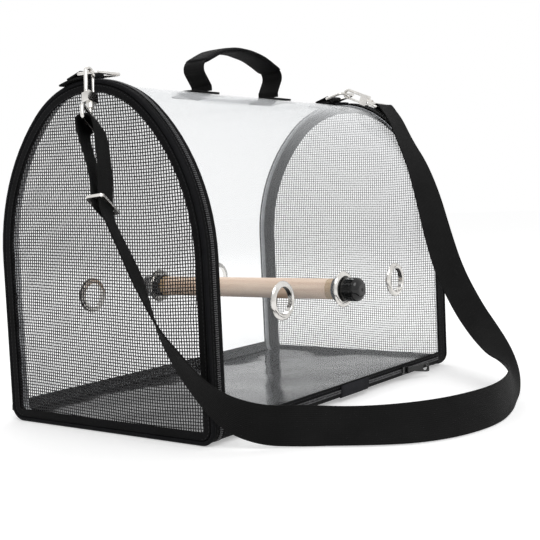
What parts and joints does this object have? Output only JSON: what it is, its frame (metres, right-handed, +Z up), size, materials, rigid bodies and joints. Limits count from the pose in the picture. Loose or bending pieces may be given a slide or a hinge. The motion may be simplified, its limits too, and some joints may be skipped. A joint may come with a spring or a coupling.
{
  "type": "bird travel carrier",
  "caption": "Soft-sided arched bird carrier with clear tunnel walls, net ends, a zip-open door, a wooden perch through side eyelets, a top handle and a clip-on shoulder strap.",
  "frame": {"origin": "on the ground under the middle of the carrier, halfway between its two net ends", "axes": "+X along the tunnel from the zipped door end to the sewn end, +Z up, strap and base zip on the -Y side"},
  "size_m": [0.4694, 0.4245, 0.3442],
  "materials": {
    "black_fabric": "woven",
    "black_net": "fine mesh",
    "clear_sheet": "clear flexible sheet",
    "grey_lining": "smooth",
    "inner_board": "plain",
    "hoop_steel": "flat spring steel",
    "zip_coil": "moulded coil",
    "zip_metal": "black enamel",
    "nickel": "polished",
    "black_webbing": "ribbed webbing",
    "grip_fabric": "padded",
    "perch_wood": "smooth",
    "cap_plastic": "polished",
    "frosted_sheet": "frosted"
  },
  "bodies": {
    "carrier": {"near_band": "black_fabric", "far_frame": "black_fabric", "far_piping": "black_fabric", "near_hoop": "hoop_steel", "far_hoop": "hoop_steel", "far_net": "black_net", "clear_tunnel": "clear_sheet", "base_cover": "black_fabric", "strap_side_binding": "black_fabric", "plain_side_binding": "black_fabric", "floor_board": "inner_board", "floor_lining": "grey_lining", "band_zip_coil": "zip_coil", "base_zip_upper_coil": "zip_coil", "base_zip_lower_coil": "zip_coil", "base_zip_tab": "black_fabric", "eyelets": "nickel", "eyelet_washers": "nickel", "near_handle_foot": "black_webbing", "far_handle_foot": "black_webbing", "near_handle_patch": "black_fabric", "far_handle_patch": "black_fabric", "roof_strip": "frosted_sheet", "handle_webbing": "black_webbing", "handle_grip": "grip_fabric", "near_ring_tab": "black_webbing", "far_ring_tab": "black_webbing", "shoulder_strap": "black_webbing"},
    "door": {"door_frame": "black_fabric", "door_piping": "black_fabric", "door_hoop": "hoop_steel", "door_net": "black_net", "door_zip_coil": "zip_coil"},
    "door_zip_slider": {"door_zip_slider": "zip_metal"},
    "door_zip_pull": {"door_zip_pull": "zip_metal"},
    "base_zip_slider": {"base_zip_slider": "zip_metal"},
    "base_zip_pull": {"base_zip_pull": "zip_metal"},
    "plain_side_perch_cap": {"plain_side_perch_cap": "cap_plastic"},
    "perch_dowel": {"perch_dowel": "perch_wood"},
    "strap_side_perch_cap": {"strap_side_perch_cap": "cap_plastic"},
    "near_d_ring": {"near_d_ring": "nickel"},
    "near_hook": {"near_hook": "nickel"},
    "near_hook_gate": {"near_hook_gate": "nickel"},
    "near_hook_eye": {"near_hook_eye": "nickel"},
    "far_d_ring": {"far_d_ring": "nickel"},
    "far_hook": {"far_hook": "nickel"},
    "far_hook_gate": {"far_hook_gate": "nickel"},
    "far_hook_eye": {"far_hook_eye": "nickel"},
    "strap_slider": {"strap_slider": "nickel"}
  },
  "joints": [
    {"name": "door_swing", "type": "hinge", "parent": "carrier", "child": "door", "pos_m": [-0.206, 0, 0], "axis": [0, -1, 0], "range_deg": [0, 90], "deforming": ["shoulder_strap", "near_hook", "near_hook_gate", "near_hook_eye", "strap_slider"]},
    {"name": "door_zip_slide", "type": "slide", "parent": "carrier", "child": "door_zip_slider", "axis": [0, 0, 1], "range_m": [0, 0.1]},
    {"name": "door_zip_pull_swing", "type": "hinge", "parent": "door_zip_slider", "child": "door_zip_pull", "pos_m": [-0.196, 0.1247, 0.0338], "axis": [1, 0, 0], "range_deg": [0, 150]},
    {"name": "base_zip_slide", "type": "slide", "parent": "carrier", "child": "base_zip_slider", "axis": [-1, 0, 0], "range_m": [-0.034, 0.06]},
    {"name": "base_zip_pull_swing", "type": "hinge", "parent": "base_zip_slider", "child": "base_zip_pull", "pos_m": [0.1072, -0.1247, 0.0105], "axis": [0, 0, -1], "range_deg": [-20, 110]},
    {"name": "perch_withdraw", "type": "slide", "parent": "carrier", "child": "plain_side_perch_cap", "axis": [0, 1, 0], "range_m": [0, 0.25]},
    {"name": "perch_spin", "type": "hinge", "parent": "plain_side_perch_cap", "child": "perch_dowel", "pos_m": [0, 0, 0.105], "axis": [0, 1, 0], "continuous": true},
    {"name": "perch_cap_pull_off", "type": "slide", "parent": "perch_dowel", "child": "strap_side_perch_cap", "axis": [0, -1, 0], "range_m": [0, 0.026]},
    {"name": "near_ring_lift", "type": "hinge", "parent": "carrier", "child": "near_d_ring", "pos_m": [-0.1966, 0.002, 0.30373], "axis": [-1, 0, 0], "range_deg": [0, 80], "deforming": ["shoulder_strap"]},
    {"name": "near_hook_swing", "type": "hinge", "parent": "near_d_ring", "child": "near_hook", "pos_m": [-0.2116, -0.012, 0.30373], "axis": [0, 1, 0], "range_deg": [0, 40], "deforming": ["shoulder_strap"]},
    {"name": "near_gate_press", "type": "hinge", "parent": "near_hook", "child": "near_hook_gate", "pos_m": [-0.21483, -0.01808, 0.28199], "axis": [0.0841, -0.9629, 0.2565], "range_deg": [0, 14], "stiffness_Nm_per_rad": 0.02, "springref_deg": -5.73},
    {"name": "near_eye_swivel", "type": "hinge", "parent": "near_hook", "child": "near_hook_eye", "pos_m": [-0.22377, -0.02253, 0.2682], "axis": [0.3, 0.27, 0.9149], "range_deg": [-60, 60], "deforming": ["shoulder_strap"]},
    {"name": "far_ring_lift", "type": "hinge", "parent": "carrier", "child": "far_d_ring", "pos_m": [0.184, 0.002, 0.30373], "axis": [-1, 0, 0], "range_deg": [0, 80], "deforming": ["shoulder_strap"]},
    {"name": "far_hook_swing", "type": "hinge", "parent": "far_d_ring", "child": "far_hook", "pos_m": [0.184, -0.01749, 0.30823], "axis": [-1, 0, 0], "range_deg": [0, 40], "deforming": ["shoulder_strap"]},
    {"name": "far_gate_press", "type": "hinge", "parent": "far_hook", "child": "far_hook_gate", "pos_m": [0.184, -0.03673, 0.296], "axis": [1, 0, 0], "range_deg": [0, 14], "stiffness_Nm_per_rad": 0.02, "springref_deg": -5.73},
    {"name": "far_eye_swivel", "type": "hinge", "parent": "far_hook", "child": "far_hook_eye", "pos_m": [0.184, -0.05356, 0.2934], "axis": [0, 0.9199, 0.3921], "range_deg": [-12, 12], "deforming": ["shoulder_strap"]},
    {"name": "strap_slider_slide", "type": "slide", "parent": "carrier", "child": "strap_slider", "axis": [0.3, 0.27, 0.9149], "range_m": [0, 0.02], "deforming": ["shoulder_strap"]}
  ]
}
